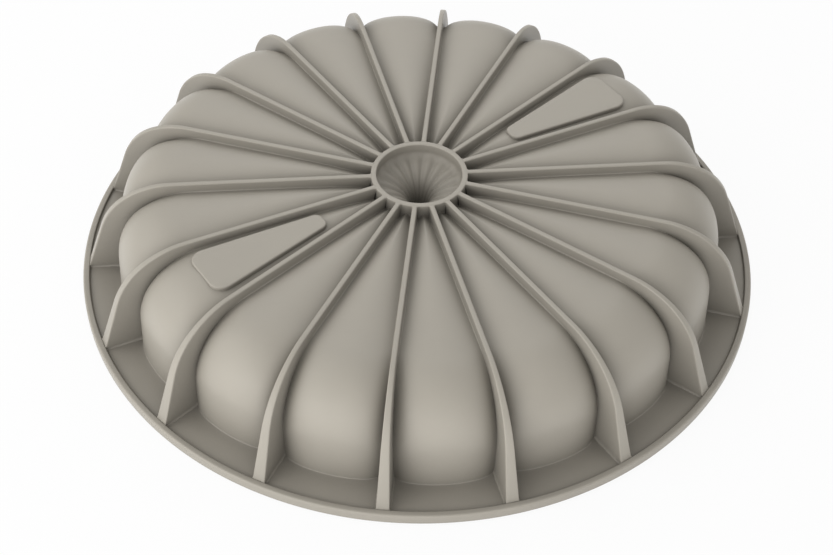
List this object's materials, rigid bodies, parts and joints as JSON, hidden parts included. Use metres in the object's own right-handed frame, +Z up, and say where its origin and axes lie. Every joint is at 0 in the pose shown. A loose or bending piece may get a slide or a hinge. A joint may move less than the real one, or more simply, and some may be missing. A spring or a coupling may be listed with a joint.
{
  "type": "fluted silicone cake mould",
  "caption": "Round flexible cake mould with radial petal flutes, a fluted centre cone, standing stiffening ribs that meet at a base ring, and a thickened rim; shown lying mouth down.",
  "frame": {"origin": "centre of the mouth, in the plane of the rim's underside", "axes": "+Z up from the mouth to the base, as pictured; +X and +Y along the mouth plane, with the camera on the -Y side"},
  "size_m": [0.26, 0.26, 0.0423],
  "materials": {
    "cavity_shell_silicone": "matte",
    "rib_01_silicone": "matte",
    "rib_02_silicone": "matte",
    "rib_03_silicone": "matte",
    "rib_04_silicone": "matte",
    "rib_05_silicone": "matte",
    "rib_06_silicone": "matte",
    "rib_07_silicone": "matte",
    "rib_08_silicone": "matte",
    "rib_09_silicone": "matte",
    "rib_10_silicone": "matte",
    "rib_11_silicone": "matte",
    "rib_12_silicone": "matte",
    "rib_13_silicone": "matte",
    "rib_14_silicone": "matte",
    "rib_15_silicone": "matte",
    "rib_16_silicone": "matte",
    "rib_17_silicone": "matte",
    "rib_18_silicone": "matte",
    "base_ring_silicone": "matte",
    "rim_lip_silicone": "matte",
    "marking_pad_a_silicone": "matte",
    "marking_pad_b_silicone": "matte"
  },
  "bodies": {
    "root": {"cavity_shell": "cavity_shell_silicone", "rib_01": "rib_01_silicone", "rib_02": "rib_02_silicone", "rib_03": "rib_03_silicone", "rib_04": "rib_04_silicone", "rib_05": "rib_05_silicone", "rib_06": "rib_06_silicone", "rib_07": "rib_07_silicone", "rib_08": "rib_08_silicone", "rib_09": "rib_09_silicone", "rib_10": "rib_10_silicone", "rib_11": "rib_11_silicone", "rib_12": "rib_12_silicone", "rib_13": "rib_13_silicone", "rib_14": "rib_14_silicone", "rib_15": "rib_15_silicone", "rib_16": "rib_16_silicone", "rib_17": "rib_17_silicone", "rib_18": "rib_18_silicone", "base_ring": "base_ring_silicone", "rim_lip": "rim_lip_silicone", "marking_pad_a": "marking_pad_a_silicone", "marking_pad_b": "marking_pad_b_silicone"}
  },
  "joints": []
}
